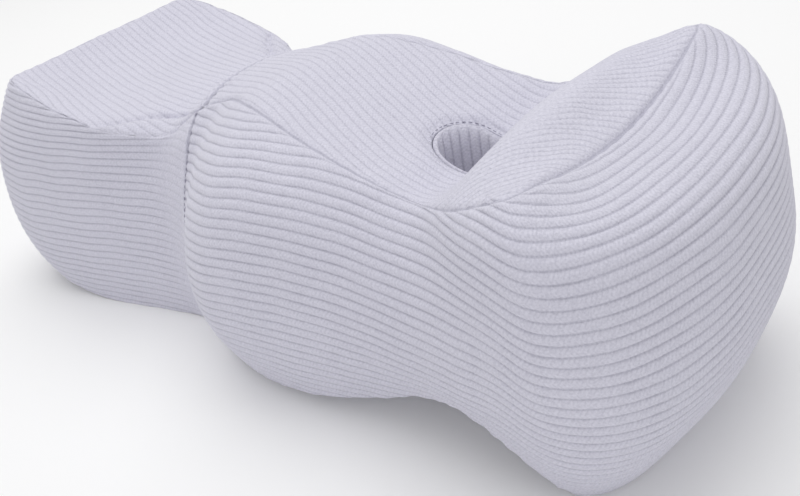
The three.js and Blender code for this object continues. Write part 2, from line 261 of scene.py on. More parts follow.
def rib_rows(surface, columns, samples):
    """Rows that follow the ribs: in each column, the places whose distance along the cloth from the
    middle line is a whole number of rows. Rows past a seam are gathered in one point just short of it."""
    middle = 200
    fine = np.linspace(-1, 1, 2 * middle + 1)
    curve = surface(*np.broadcast_arrays(columns[:, None], fine[None, :]))
    arc = np.cumsum(np.linalg.norm(np.diff(curve, axis=1), axis=-1), axis=1)
    arc = np.pad(arc, ((0, 0), (1, 0)))
    arc -= arc[:, middle:middle + 1]
    low, high = arc[:, :1] + SEAM_STRIP, arc[:, -1:] - SEAM_STRIP
    row = RIB_PITCH / samples
    steps = np.arange(math.floor(low.min() / row), math.ceil(high.max() / row) + 1) * row
    close = 0.4 * row
    start = np.argmax(steps[None, :] > low + close, axis=1) - 1
    stop = np.argmax(steps[None, :] >= high - close, axis=1)
    j = np.clip(np.arange(len(steps))[None, :], start[:, None], stop[:, None])
    s = np.where(j == start[:, None], low, np.where(j == stop[:, None], high, steps[j]))
    apart = 1e4 * np.arange(len(columns))[:, None]
    places = np.broadcast_to(fine, arc.shape).ravel()
    t = np.interp((s + apart).ravel(), (arc + apart).ravel(), places).reshape(s.shape)
    return {"t": t, "s": s, "j": j, "start": start, "stop": stop,
            "low": s - arc[:, :1], "high": arc[:, -1:] - s}


def rib_relief(s, x):
    """Turns counted across the ribs, and the depth of the groove between them: a rib is half an ellipse
    across, one pitch wide. The main body's ribs don't quite meet the small block's at the waist seam."""
    shift = np.where(x > WAIST_X, BODY_RIB_SHIFT, 0.0)
    turn = s / RIB_PITCH - shift
    from_groove = np.abs(turn - np.round(turn))
    return turn, RIB_DEPTH * (1 - np.sqrt(1 - RIB_ROUNDNESS * (1 - 2 * from_groove) ** 2))


RIBS_AT_SEAM, SEAM_FADE = 0.25, (0, 3)
RIBS_ON_BAND, BAND_START, WAIST_SEAM = 0.35, (-80, -66), (WAIST_X - 1, WAIST_X)
RIBS_ON_TOP, RIBS_ON_STRIP = 0.68, 0.1
STRIP_START, STRIP_STOP, STRIP_SIDE = (116, 126), (136, 152), (-55, -15)


def rib_height(x, y, seam_distance, part):
    """How much of the ribs shows, from 0 to 1: less on the wall's smooth band beside the waist seam, less
    on the top and least on its tight strip along the flank of the ridge, and less right at a seam."""
    height = RIBS_AT_SEAM + (1 - RIBS_AT_SEAM) * smooth_step(seam_distance, *SEAM_FADE)
    if part == "wall":
        band = smooth_step(x, *BAND_START) * (1 - smooth_step(x, *WAIST_SEAM))
        height *= 1 - (1 - RIBS_ON_BAND) * band
    if part == "top":
        strip = smooth_step(x, *STRIP_START) * (1 - smooth_step(x, *STRIP_STOP))
        strip *= smooth_step(y, *STRIP_SIDE)
        height *= RIBS_ON_TOP * (1 - (1 - RIBS_ON_STRIP) * strip)
    return height


# Chance waves: size, wavelength in millimetres and seed. The sizes are millimetres, and for the two puckers
# radians by which their waves run early or late.
WAIST_PUCKER_WAVES = (1.8, 30, 7)
SEAM_PUCKER_WAVES = (2.5, 40, 5)
RIB_WAVES = (0.3, 34, 3)
FLANK_WAVES = (0.9, 14, 4)
BAND_WAVES = (1.0, 20, 8)
DENT_WAVES = (0.7, 75, 6)

WELT_HEIGHT, WELT_OFFSET, WELT_REACH = 1.3, 3.4, 2.3
WAIST_PUCKER = {"wall": 0.3, "top": 1.3, "under": 0.3}
WAIST_PUCKER_RATE, WAIST_PUCKER_LENGTH, WAIST_PUCKER_START = 0.95, 5, (-0.5, 2)


def waist_puckers(points, x, s, part):
    """Height of the cloth beside the waist seam. On the top a raised welt, a bell across, lies on the small
    block's side. On the main body's side short puckers, squared sines along the seam, fade away from it."""
    past = x - WAIST_X
    welt = WELT_HEIGHT * bell(past + WELT_OFFSET, WELT_REACH) * (part == "top")
    wave = (0.5 + 0.5 * np.sin(s * WAIST_PUCKER_RATE + uneven(points, *WAIST_PUCKER_WAVES))) ** 2
    fade = np.exp(-np.maximum(past, 0) / WAIST_PUCKER_LENGTH) * smooth_step(past, *WAIST_PUCKER_START)
    return welt - WAIST_PUCKER[part] * wave * fade


FOLD_PATH = np.array([(-106, 68), (-93, 53), (-81, 43), (-68, 37), (-52, 37)], float)
FOLD_DEPTH, FOLD_REACH = 2.8, 1.7
FOLD_SWELL, FOLD_SWELL_PLACE, FOLD_SWELL_REACH = 1.6, 5, 4.5


def fold_height(points):
    """The fold where the top panel meets the waist, alike on both sides: a crease along FOLD_PATH, a bell
    across, and a broader bell of swollen cloth on its outer side. FOLD_PATH's points are x and |y|."""
    place = np.stack([points[..., 0], np.abs(points[..., 1])], -1)
    nearest = np.full(place.shape[:-1], 1e9)
    outside = np.zeros_like(nearest)
    for first, second in zip(FOLD_PATH[:-1], FOLD_PATH[1:]):
        run = second - first
        share = np.clip((place - first) @ run / (run @ run), 0, 1)
        offset = place - first - share[..., None] * run
        distance = np.linalg.norm(offset, axis=-1)
        side = np.sign(offset[..., 1])
        closer = distance < nearest
        nearest = np.where(closer, distance, nearest)
        outside = np.where(closer, side, outside)
    swell = FOLD_SWELL * bell(nearest - FOLD_SWELL_PLACE, FOLD_SWELL_REACH) * (outside > 0)
    return swell - FOLD_DEPTH * bell(nearest, FOLD_REACH)


SLOT_X, SLOT_LENGTH, SLOT_WIDTH = 98, 42, 30
LINING_THICKNESS, LINING_GAP = 2, 0.3
LIP_DEPTH, LIP_REACH = 2.4, 3.0


def slot_distance(x, y):
    """Distance outside the slot's outline, a bar with round ends."""
    radius = SLOT_WIDTH / 2
    return np.hypot(np.maximum(np.abs(x - SLOT_X) - (SLOT_LENGTH / 2 - radius), 0), y) - radius


def lip_pull(x, y):
    """How far the cover turns down into the slot: LIP_DEPTH at the cut, fading as a bell round it."""
    beyond = np.maximum(slot_distance(x, y) - LINING_THICKNESS - LINING_GAP, 0)
    return LIP_DEPTH * bell(beyond, LIP_REACH)


BLOCK_SKEW, BLOCK_PART = 22, (-215, -60)
BODY_SKEW, BODY_PART, RIDGE_FLANK = 40, (WAIST_X, 110), (118, 172)
FLANK_START, BAND_PART = (130, 150), (-74, -50)
SEAM_PUCKER, SEAM_PUCKER_REACH, SEAM_PUCKER_WAVE = 0.6, 6, 1.9
DENT_FADE, FOLD_FADE = (0, 25), (0, 4)


def dress(points, normals, s, t, seam_distance, sunk, part):
    """Takes the plain surface to the cloth. The ground presses it flat, the grooves, puckers, dents, waist,
    fold and slot's lip move it along its normals, and sunk moves it at the edge seams. Across the top the
    ribs run askew. Returns the points, the turns counted across the ribs and how much of them shows."""
    x, y = points[..., 0], points[..., 1]
    points = points.copy()
    points[..., 2] = np.maximum(points[..., 2], 0)
    wander = uneven(points, *RIB_WAVES)
    if part == "top":
        band = smooth_step(x, *BAND_PART) * (1 - smooth_step(x, *WAIST_SEAM))
        wander += BLOCK_SKEW * smooth_step(x, *BLOCK_PART) * (x < WAIST_X)
        wander += BODY_SKEW * smooth_step(x, *BODY_PART) * (1 - smooth_step(x, *RIDGE_FLANK))
        wander += smooth_step(x, *FLANK_START) * uneven(points, *FLANK_WAVES)
        wander += band * uneven(points, *BAND_WAVES)
    turn, groove = rib_relief(s + wander, x)
    height = rib_height(x, y, seam_distance, part)
    wave = 0.5 + 0.5 * np.sin(t / SEAM_PUCKER_WAVE + uneven(points, *SEAM_PUCKER_WAVES))
    pucker = SEAM_PUCKER * np.exp(-seam_distance / SEAM_PUCKER_REACH) * wave
    dent = uneven(points, *DENT_WAVES) * smooth_step(seam_distance, *DENT_FADE)
    waist = waist_pull(x, part)
    if part == "wall":
        waist = waist * swell_share(points[..., 2], seam_distance)
    inward = groove * height + waist + pucker - dent - waist_puckers(points, x, s, part)
    if part == "top":
        inward -= fold_height(points) * smooth_step(seam_distance, *FOLD_FADE)
    if part != "wall":
        inward += lip_pull(x, y)
    points -= normals * inward[..., None]
    points += sunk
    points[..., 2] = np.maximum(points[..., 2], 0)
    return points, turn, height


def grid_triangles(corner):
    """Two triangles for each cell of a grid of corner numbers, wound from the first axis to the second."""
    a, b, c, d = corner[:-1, :-1], corner[1:, :-1], corner[1:, 1:], corner[:-1, 1:]
    return np.concatenate([np.stack([a, b, c], -1).reshape(-1, 3), np.stack([a, c, d], -1).reshape(-1, 3)])


def zip_loops(first, first_u, second, second_u):
    """Triangles between two loops of corners, each sorted by its place u and closed by its first corner
    again: every step along one loop takes the last corner of the other that comes before it."""
    beside = np.searchsorted(second_u, first_u[1:], side="left") - 1
    one = np.stack([first[:-1], first[1:], second[beside]], -1)
    beside = np.searchsorted(first_u, second_u[1:], side="right") - 1
    two = np.stack([first[beside], second[1:], second[:-1]], -1)
    return np.concatenate([one, two])


# Columns lie closer at these marks: the place from -1 to 1, the bell's width and its gain. Along the pillow
# they are at the waist, the two ends, the slot and the ridge, and across it at the two sides.
A_MARKS = [(-0.26, 0.05, 4), (-1, 0.03, 4), (1, 0.03, 4), (0.6, 0.17, 1.2), (0.88, 0.12, 1.8)]
B_MARKS = [(-1, 0.1, 2), (1, 0.1, 2)]
A_COLUMNS = closer_at(144, A_MARKS)
B_COLUMNS = closer_at(46, B_MARKS)
RIB_SAMPLES = {"wall": 5, "top": 6, "under": 4}
PANEL_HALF = 182
SHORT = 1 - SEAM_STRIP / PANEL_HALF


def wall_cloth():
    """The wall strip on its grid of columns (round the rim) and rows (along the ribs). Next to each edge
    seam it sinks as a bell."""
    rim = np.concatenate([side + (closed[:-1] + 1) / 2 for side, closed in enumerate(
        (A_COLUMNS, B_COLUMNS, -A_COLUMNS[::-1], -B_COLUMNS[::-1]))])
    rows = rib_rows(wall_point, rim, RIB_SAMPLES["wall"])
    u = np.broadcast_to(rim[:, None], rows["t"].shape)
    points = wall_point(u, rows["t"])
    middle = wall_point(rim, np.zeros_like(rim))
    steps = np.linalg.norm(np.diff(np.vstack([middle, middle[:1]]), axis=0), axis=1)
    t = np.concatenate([[0], np.cumsum(steps)])
    sunk = (
        seam_pull(rim, True)[:, None] * bell(rows["high"], SEAM_REACH)[..., None]
        + seam_pull(rim, False)[:, None] * bell(rows["low"], SEAM_REACH)[..., None]
    )
    sunk += ridge_fill(u, rows["high"])
    distance = np.minimum(rows["high"], rows["low"])
    normals = normal_at(wall_point, u, rows["t"])
    cloth = dress(points, normals, rows["s"], np.broadcast_to(t[:-1, None], u.shape), distance, sunk, "wall")
    return {"rim": rim, "rows": rows, "t": t, "distance": distance, "cloth": cloth, "wraps": True}


def panel_cloth(top):
    """The top or the bottom panel on its grid of columns (across) and rows (along the ribs). Next to its
    nearest seam it sinks as a bell."""
    surface = top_point if top else under_point
    part = "top" if top else "under"
    rows = rib_rows(surface, A_COLUMNS * SHORT, RIB_SAMPLES[part])
    a = np.broadcast_to((A_COLUMNS * SHORT)[:, None], rows["t"].shape)
    b = rows["t"]
    points = surface(a, b)
    middle = surface(A_COLUMNS, np.zeros_like(A_COLUMNS))
    t = np.concatenate([[0], np.cumsum(np.linalg.norm(np.diff(middle, axis=0), axis=1))])
    to_side = np.where(b > 0, rows["high"], rows["low"])
    to_end = np.linalg.norm(points - surface(np.sign(a), b), axis=-1)
    nearer_side = to_side < to_end
    side_u = np.where(b < 0, (a + 1) / 2, 2 + (1 - a) / 2)
    end_u = np.where(a > 0, 1 + (b + 1) / 2, 3 + (1 - b) / 2)
    distance = np.minimum(to_side, to_end)
    pull = seam_pull(np.where(nearer_side, side_u, end_u), top)
    sunk = pull * bell(distance, SEAM_REACH)[..., None]
    if top:
        sunk += ridge_fill(end_u, to_end)
    normals = normal_at(surface, a, b, 1 if top else -1)
    cloth = dress(points, normals, rows["s"], np.broadcast_to(t[:, None], b.shape), distance, sunk, part)
    return {"rows": rows, "t": t, "distance": distance, "cloth": cloth, "wraps": False}


def panel_loop(panel, first_corner):
    """The panel's rim as corner numbers and places u, in order round the pillow, closed by its start."""
    rows = panel["rows"]
    n, m = rows["t"].shape
    near = np.arange(n) * m + rows["start"]
    far = np.arange(n) * m + rows["stop"]
    ridge = np.arange(rows["start"][-1], rows["stop"][-1] + 1)
    block = np.arange(rows["start"][0], rows["stop"][0] + 1)
    ridge_t = np.interp(rows["t"][-1, ridge], rows["t"][-1, ridge[[0, -1]]], [-1, 1])
    block_t = np.interp(rows["t"][0, block], rows["t"][0, block[[0, -1]]], [-1, 1])
    corners = np.concatenate([near[:-1], (n - 1) * m + ridge[:-1], far[:0:-1], block[:0:-1], near[:1]])
    u = np.concatenate([
        (A_COLUMNS[:-1] + 1) / 2,
        1 + (ridge_t[:-1] + 1) / 2,
        2 + (1 - A_COLUMNS[:0:-1]) / 2,
        3 + (1 - block_t[:0:-1]) / 2,
        [4],
    ])
    return corners + first_corner, u


def cloth_triangles(piece, first_corner, flip=False):
    """Triangles of a piece of cloth and, for each corner of each, its distances across and along ribs."""
    rows = piece["rows"]
    n, m = rows["t"].shape
    columns = np.arange(n + 1 if piece["wraps"] else n)
    j = rows["j"][columns % n]
    number = (columns[:, None] % n) * m + j + first_corner
    place = columns[:, None] * m + j
    triangles, places = grid_triangles(number), grid_triangles(place)
    whole = (
        (triangles[:, 0] != triangles[:, 1])
        & (triangles[:, 1] != triangles[:, 2])
        & (triangles[:, 2] != triangles[:, 0])
    )
    triangles, places = triangles[whole], places[whole]
    across = piece["cloth"][1].ravel()[(places // m % n) * m + places % m] * RIB_PITCH
    lengths = piece["t"][places // m]
    if flip:
        triangles, across, lengths = triangles[:, ::-1], across[:, ::-1], lengths[:, ::-1]
    return triangles, np.stack([across, lengths], -1)


def mesh_from(name, points, triangles, cloth_uv, measures):
    """A mesh in metres from millimetre points, with a UV map of cloth distances and named measures."""
    used = np.unique(triangles)
    renumber = np.zeros(len(points), int)
    renumber[used] = np.arange(len(used))
    triangles = renumber[triangles]
    mesh = bpy.data.meshes.new(name)
    mesh.vertices.add(len(used))
    mesh.vertices.foreach_set("co", (points[used] * MM).astype(np.float32).ravel())
    mesh.loops.add(triangles.size)
    mesh.loops.foreach_set("vertex_index", triangles.astype(np.int32).ravel())
    mesh.polygons.add(len(triangles))
    mesh.polygons.foreach_set("loop_start", np.arange(0, triangles.size, 3, dtype=np.int32))
    mesh.update(calc_edges=True)
    mesh.uv_layers.new(name="cloth").data.foreach_set("uv", (cloth_uv * MM).astype(np.float32).ravel())
    for measure, values in measures.items():
        layer = mesh.attributes.new(measure, "FLOAT", "POINT")
        layer.data.foreach_set("value", values[used].astype(np.float32))
    mesh.shade_smooth()
    mesh.validate()
    return mesh


# Distances to a seam are raised where its line of painted shade is paler: along the block's upper edge
# beside the fold, where the seam opens out, and a little round the slot. The wall has no slot, which is far
# off from it.
OPEN_SEAM, OPEN_START, OPEN_STOP, OPEN_Z = 2, (-112, -100), (-58, -51), 90
RIM_PALER = 0.4
FAR_OFF = 100


def cover_mesh():
    """Wall, top and bottom joined in one closed mesh, each panel's rim zipped to the wall's. It carries how
    much of the ribs shows, and the distance in millimetres to the nearest seam, for the seam's shading."""
    wall, top, under = wall_cloth(), panel_cloth(True), panel_cloth(False)
    pieces = [wall, top, under]
    counts = [piece["rows"]["t"].size for piece in pieces]
    starts = np.concatenate([[0], np.cumsum(counts)])
    points = np.concatenate([piece["cloth"][0].reshape(-1, 3) for piece in pieces])
    height = np.concatenate([piece["cloth"][2].ravel() for piece in pieces])
    edge = np.concatenate([piece["distance"].ravel() for piece in pieces])
    x, z = points[:, 0], points[:, 2]
    edge += OPEN_SEAM * smooth_step(x, *OPEN_START) * (1 - smooth_step(x, *OPEN_STOP)) * (z > OPEN_Z)
    rim = np.abs(slot_distance(x, points[:, 1]) - LINING_THICKNESS - LINING_GAP) + RIM_PALER
    rim[:counts[0]] = FAR_OFF
    seam = np.minimum(np.minimum(edge, np.abs(x - WAIST_X)), rim)
    parts = [cloth_triangles(wall, starts[0]), cloth_triangles(top, starts[1]),
             cloth_triangles(under, starts[2], flip=True)]
    n, m = wall["rows"]["t"].shape
    wall_u = np.append(wall["rim"], 4)
    for panel, start, row, flip in ((top, starts[1], "stop", False), (under, starts[2], "start", True)):
        wall_loop = np.arange(n) * m + wall["rows"][row]
        wall_loop = np.append(wall_loop, wall_loop[0])
        loop, loop_u = panel_loop(panel, start)
        triangles = zip_loops(wall_loop, wall_u, loop, loop_u)
        if flip:
            triangles = triangles[:, ::-1]
        parts.append((triangles, np.zeros((len(triangles), 3, 2))))
    triangles = np.concatenate([part[0] for part in parts])
    cloth_uv = np.concatenate([part[1] for part in parts])
    return mesh_from("cushion_cover", points, triangles, cloth_uv, {"rib_height": height, "seam_mm": seam})


def slot_outline(s, offset):
    """Points of the slot's outline grown by offset, at distances s round the outline that isn't grown: half
    a turn, a straight side, half a turn and the other straight side."""
    radius = SLOT_WIDTH / 2
    straight = SLOT_LENGTH - SLOT_WIDTH
    half_turn = math.pi * radius
    turned = np.clip(s, 0, half_turn) + np.clip(s - half_turn - straight, 0, half_turn)
    back = np.clip(s - half_turn, 0, straight) - np.clip(s - 2 * half_turn - straight, 0, straight)
    angle = turned / radius - math.pi / 2
    x = SLOT_X + straight / 2 - back + (radius + offset) * np.cos(angle)
    return x, (radius + offset) * np.sin(angle)


SLOT_ROUND = 2 * (SLOT_LENGTH - SLOT_WIDTH) + math.pi * SLOT_WIDTH
CUT_SIDES = 96
CUT_FROM, CUT_TO = -30, 230

cushion = bpy.data.objects.new("cushion_cover", cover_mesh())
bpy.context.collection.objects.link(cushion)

# The slot is cut with a prism on its outline, which leaves room for the lining, and the cut mesh is kept.
corner = np.arange(CUT_SIDES)
after = (corner + 1) % CUT_SIDES
cut_x, cut_y = slot_outline(corner * SLOT_ROUND / CUT_SIDES, LINING_THICKNESS + LINING_GAP)
cut_loops = [np.stack([cut_x, cut_y, np.full(CUT_SIDES, z)], 1) for z in (CUT_FROM, CUT_TO)]
cut_faces = np.stack([corner, after, after + CUT_SIDES, corner + CUT_SIDES], 1).tolist()
cut_faces += [corner[::-1].tolist(), (corner + CUT_SIDES).tolist()]
cutter_mesh = bpy.data.meshes.new("slot_cutter")
cutter_mesh.from_pydata((np.concatenate(cut_loops) * MM).tolist(), [], cut_faces)
cutter = bpy.data.objects.new("slot_cutter", cutter_mesh)
bpy.context.collection.objects.link(cutter)
cut = cushion.modifiers.new("slot", "BOOLEAN")
cut.operation = "DIFFERENCE"
cut.solver = "MANIFOLD"
cut.object = cutter
bpy.context.view_layer.update()
cut_through = bpy.data.meshes.new_from_object(cushion.evaluated_get(bpy.context.evaluated_depsgraph_get()))
cushion.modifiers.clear()
cushion.data = cut_through
cut_through.materials.clear()
cut_through.polygons.foreach_set("material_index", np.zeros(len(cut_through.polygons), np.int32))
bpy.data.objects.remove(cutter)


def new_material(name, roughness):
    """A material, its node tree and its shader."""
    material = bpy.data.materials.new(name)
    material.use_nodes = True
    shader = material.node_tree.nodes["Principled BSDF"]
    shader.inputs["Roughness"].default_value = roughness
    return material, material.node_tree, shader


def math_node(tree, operation, *inputs, clamp=False):
    """The result of one arithmetic step on numbers or sockets."""
    node = tree.nodes.new("ShaderNodeMath")
    node.operation = operation
    node.use_clamp = clamp
    for socket, value in zip(node.inputs, inputs):
        if isinstance(value, (int, float)):
            socket.default_value = value
        else:
            tree.links.new(value, socket)
    return node.outputs[0]


def ramp_node(tree, value, low, high, to_low=0.0, to_high=1.0):
    """A soft step: to_low where value is under low, to_high where it is over high."""
    node = tree.nodes.new("ShaderNodeMapRange")
    node.interpolation_type = "SMOOTHSTEP"
    tree.links.new(value, node.inputs["Value"])
    for name, number in (("From Min", low), ("From Max", high), ("To Min", to_low), ("To Max", to_high)):
        node.inputs[name].default_value = number
    return node.outputs["Result"]


def noise_node(tree, scale, detail):
    """Noise that is fixed to the piece: its waves are about one part in scale of a metre."""
    node = tree.nodes.new("ShaderNodeTexNoise")
    node.inputs["Scale"].default_value = scale
    node.inputs["Detail"].default_value = detail
    tree.links.new(tree.nodes.new("ShaderNodeTexCoord").outputs["Object"], node.inputs["Vector"])
    return node.outputs["Fac"]


def mix_colour(tree, share, first, second):
    """The first colour where share is 0, the second where it is 1."""
    node = tree.nodes.new("ShaderNodeMix")
    node.data_type = "RGBA"
    tree.links.new(share, node.inputs["Factor"])
    node.inputs["A"].default_value = (*first, 1)
    node.inputs["B"].default_value = (*second, 1)
    return node.outputs["Result"]


def measure_node(tree, name):
    """One of the mesh's named measures."""
    node = tree.nodes.new("ShaderNodeAttribute")
    node.attribute_name = name
    return node.outputs["Fac"]


# KNIT_SHADE is the colour of the painted shade in the grooves, along the seams and between the loops, and in
# part of the darker yarn and patches. The spans below for the seams and the loops are those of their painted
# shade.
KNIT_LIGHT, KNIT_SHADE = (0.70, 0.69, 0.79), (0.36, 0.355, 0.44)
KNIT_ROUGHNESS, KNIT_SHEEN, SHEEN_ROUGHNESS, KNIT_SHINE = 0.92, 0.25, 0.6, 0.25
LOOP_PITCH = 1.9
LOOP_SLOPE = 1.7
GROOVE_SHARE = 0.17
YARN_SCALE, PATCH_SCALE = 1100, 28
SEAM_SHADE_LINE, FIBRE_SHADE, LOOP_SHADE = (0.2, 1.3), (0.35, 0.68), (-1.0, 0.2)
BUMP = {"loops": 0.05, "yarn": 0.5, "groove": 0.25, "strength": 0.75}
SHADING = {"groove": 0.38, "seam": 0.55, "fibres": 0.24, "loops": 0.1, "patches": 0.1}


def ribbed_knit(name, light, shade):
    """Ribbed knit: the UV map counts metres across the ribs and along them. Every rib is a column of V
    loops, a sine that slopes back from the rib's middle on both sides, with a groove between the ribs that
    is bumped in and darkened with painted shade. The gaps between the loops get a little painted shade.
    Fine noise is the yarn and broad noise its patches. Painted shade darkens a narrow line along the seams."""
    material, tree, shader = new_material(name, KNIT_ROUGHNESS)
    uv = tree.nodes.new("ShaderNodeUVMap")
    uv.uv_map = "cloth"
    split = tree.nodes.new("ShaderNodeSeparateXYZ")
    tree.links.new(uv.outputs["UV"], split.inputs[0])
    rib = math_node(tree, "DIVIDE", split.outputs["X"], RIB_PITCH * MM)
    from_groove = math_node(tree, "PINGPONG", rib, 0.5)
    height = measure_node(tree, "rib_height")
    groove = math_node(tree, "MULTIPLY", ramp_node(tree, from_groove, 0.0, GROOVE_SHARE, 1.0, 0.0), height)
    slope = math_node(tree, "MULTIPLY", from_groove, LOOP_SLOPE)
    row = math_node(tree, "DIVIDE", split.outputs["Y"], LOOP_PITCH * MM)
    turn = math_node(tree, "MULTIPLY", math_node(tree, "ADD", row, slope), 2 * math.pi)
    loops = math_node(tree, "SINE", turn)
    yarn = noise_node(tree, YARN_SCALE, 4)
    patches = noise_node(tree, PATCH_SCALE, 2)
    grain = math_node(tree, "ADD", math_node(tree, "MULTIPLY", loops, BUMP["loops"]),
                      math_node(tree, "MULTIPLY", yarn, BUMP["yarn"]))
    bump_height = math_node(tree, "SUBTRACT", grain, math_node(tree, "MULTIPLY", groove, BUMP["groove"]))
    bump = tree.nodes.new("ShaderNodeBump")
    bump.inputs["Strength"].default_value = BUMP["strength"]
    bump.inputs["Distance"].default_value = MM
    tree.links.new(bump_height, bump.inputs["Height"])
    tree.links.new(bump.outputs["Normal"], shader.inputs["Normal"])
    # Painted shade: a narrow dark line along every seam, where its sunk channel lies in shade.
    seam = ramp_node(tree, measure_node(tree, "seam_mm"), *SEAM_SHADE_LINE, SHADING["seam"], 0.0)
    # Painted shade: the grooves between the ribs are darkened, more where more of the ribs shows.
    between = math_node(tree, "MULTIPLY", groove, SHADING["groove"])
    fibres = math_node(tree, "MULTIPLY", ramp_node(tree, yarn, *FIBRE_SHADE), SHADING["fibres"])
    # Painted shade: the gaps between the knit's loops are darkened a little.
    between_loops = ramp_node(tree, loops, *LOOP_SHADE, 1.0, 0.0)
    painted_loop_shade = math_node(tree, "MULTIPLY", between_loops, SHADING["loops"])
    cloudy = math_node(tree, "MULTIPLY", patches, SHADING["patches"])
    lines = math_node(tree, "MAXIMUM", between, seam)
    speckle = math_node(tree, "ADD", fibres, math_node(tree, "ADD", painted_loop_shade, cloudy))
    dark = math_node(tree, "ADD", lines, speckle, clamp=True)
    tree.links.new(mix_colour(tree, dark, light, shade), shader.inputs["Base Color"])
    shader.inputs["Sheen Weight"].default_value = KNIT_SHEEN
    shader.inputs["Sheen Roughness"].default_value = SHEEN_ROUGHNESS
    shader.inputs["Specular IOR Level"].default_value = KNIT_SHINE
    return material


cushion.data.materials.append(ribbed_knit("ribbed_knit", KNIT_LIGHT, KNIT_SHADE))
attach(cushion, "root")
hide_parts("cushion")

# The slot's lining
# A strip of the same knit, its ribs upright, sewn into a tube and stretched down the slot. Its upper and
# lower edges are rolled over and sewn to the cover, which turns down a little to meet them.
LINING_RIBS = 24
LINING_RIB_DEPTH = 0.8
RIB_CORNERS = 8
INNER_ROWS, OUTER_ROWS, ROLL_ROWS = 30, 10, 5
LINING_WAVES = (0.5, 22, 9)
EDGE_PAST_LIP = 0.9
RIB_FADE = (0, 4)
# The lining is the same knit as the cover, but both its colours are painted lighter than the cover's:
# painted light that makes up for the shade down in the slot.
LINING_LIGHT_PAINTED_BRIGHTER, LINING_SHADE_PAINTED_BRIGHTER = (0.86, 0.85, 0.94), (0.44, 0.43, 0.52)


def rim_height(x, y, surface, ends, half):
    """Height of the top or bottom panel over the plan point (x, y), by its places a and b."""
    return surface(x / ends["reach"][1], y / along(half, x))[..., 2]


def lining_mesh():
    """The tube's section goes down the inner face, round the lower edge, up the outer face and round the
    upper edge. The inner face has the ribs, half ellipses across, and small chance waves. Its flat size is
    the way round the slot and the mean height of the slot's wall."""
    around = LINING_RIBS * RIB_CORNERS
    s = np.arange(around) * SLOT_ROUND / around
    middle_x, middle_y = slot_outline(s, LINING_THICKNESS / 2)
    drop = LIP_DEPTH - EDGE_PAST_LIP
    upper = rim_height(middle_x, middle_y, top_point, TOP_ENDS, "seam_half") - drop
    lower = rim_height(middle_x, middle_y, under_point, UNDER_ENDS, "under_half") + drop
    turn = np.linspace(0, math.pi, ROLL_ROWS + 2)[1:-1]
    half = LINING_THICKNESS / 2
    inside, outside, edge_rows = np.ones(INNER_ROWS), np.ones(OUTER_ROWS), np.ones(ROLL_ROWS)
    down, up = np.linspace(1, 0, INNER_ROWS), np.linspace(0, 1, OUTER_ROWS)
    share = np.concatenate([down, 0 * edge_rows, up, edge_rows])
    roll = np.concatenate([0 * inside, -np.sin(turn), 0 * outside, np.sin(turn)])
    offset = half + half * np.concatenate([-inside, -np.cos(turn), outside, np.cos(turn)])
    inner = (np.arange(len(share)) < INNER_ROWS)[None, :]
    z = (lower + half)[:, None] + (upper - lower - 2 * half)[:, None] * share + half * roll
    x, y = slot_outline(s[:, None], offset[None, :])
    points = np.stack([x, y, z], -1)
    rib = s / SLOT_ROUND * LINING_RIBS
    from_groove = np.abs(rib - np.round(rib))[:, None]
    relief = LINING_RIB_DEPTH * np.sqrt(1 - RIB_ROUNDNESS * (1 - 2 * from_groove) ** 2)
    shown = inner * smooth_step(upper[:, None] - z, *RIB_FADE)
    wave = uneven(points, *LINING_WAVES)
    x, y = slot_outline(s[:, None], offset[None, :] - shown * (relief + wave))
    points = np.stack([x, y, z], -1)
    n, m = z.shape
    number = (np.arange(n + 1) % n)[:, None] * m + (np.arange(m + 1) % m)[None, :]
    place = np.arange(n + 1)[:, None] * (m + 1) + np.arange(m + 1)[None, :]
    triangles, places = grid_triangles(number), grid_triangles(place)
    depth = np.concatenate([-z, -z[:, :1]], 1)
    across = (places // (m + 1)) * (RIB_PITCH * LINING_RIBS / n)
    lengths = depth[places // (m + 1) % n, places % (m + 1)]
    cloth_uv = np.stack([across, lengths], -1)
    edge = np.minimum(upper[:, None] - z, z - lower[:, None]) + RIM_PALER
    measures = {"rib_height": shown.ravel(), "seam_mm": edge.ravel()}
    flat = (SLOT_ROUND * MM, float((upper - lower).mean()) * MM)
    return mesh_from("slot_lining_cloth", points.reshape(-1, 3), triangles, cloth_uv, measures), flat


lining_cloth, LINING_FLAT = lining_mesh()
lining = bpy.data.objects.new("slot_lining_cloth", lining_cloth)
bpy.context.collection.objects.link(lining)
# The lining's lighter colours are painted light against the slot's shade.
lining.data.materials.append(ribbed_knit("slot_knit", LINING_LIGHT_PAINTED_BRIGHTER, LINING_SHADE_PAINTED_BRIGHTER))
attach(lining, "root")
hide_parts("slot_lining")

# The stitches
# Grey sewing thread. It shows as short stitches in the line of the waist seam, all round the pillow but
# where it stands on the ground, and round the slot's upper mouth, where they hold the cover to the lining.
STITCH_STEP, STITCH_LENGTH, STITCH_RADIUS = 3.1, 1.9, 0.27
STITCH_LIFT = 0.1
STITCH_INSET = 1.2
STITCH_AROUND, STITCH_RINGS = 6, 5
WALL_HALF = 65
WALL_REACH, PANEL_REACH = 0.97, 0.96
WAIST_SEARCH = (0.3, 0.5)
LINE_POINTS = 80
THREAD_LIGHT, THREAD_SHADE = (0.4, 0.39, 0.48), (0.26, 0.255, 0.33)
THREAD_ROUGHNESS, TWIST_SCALE = 0.7, 900


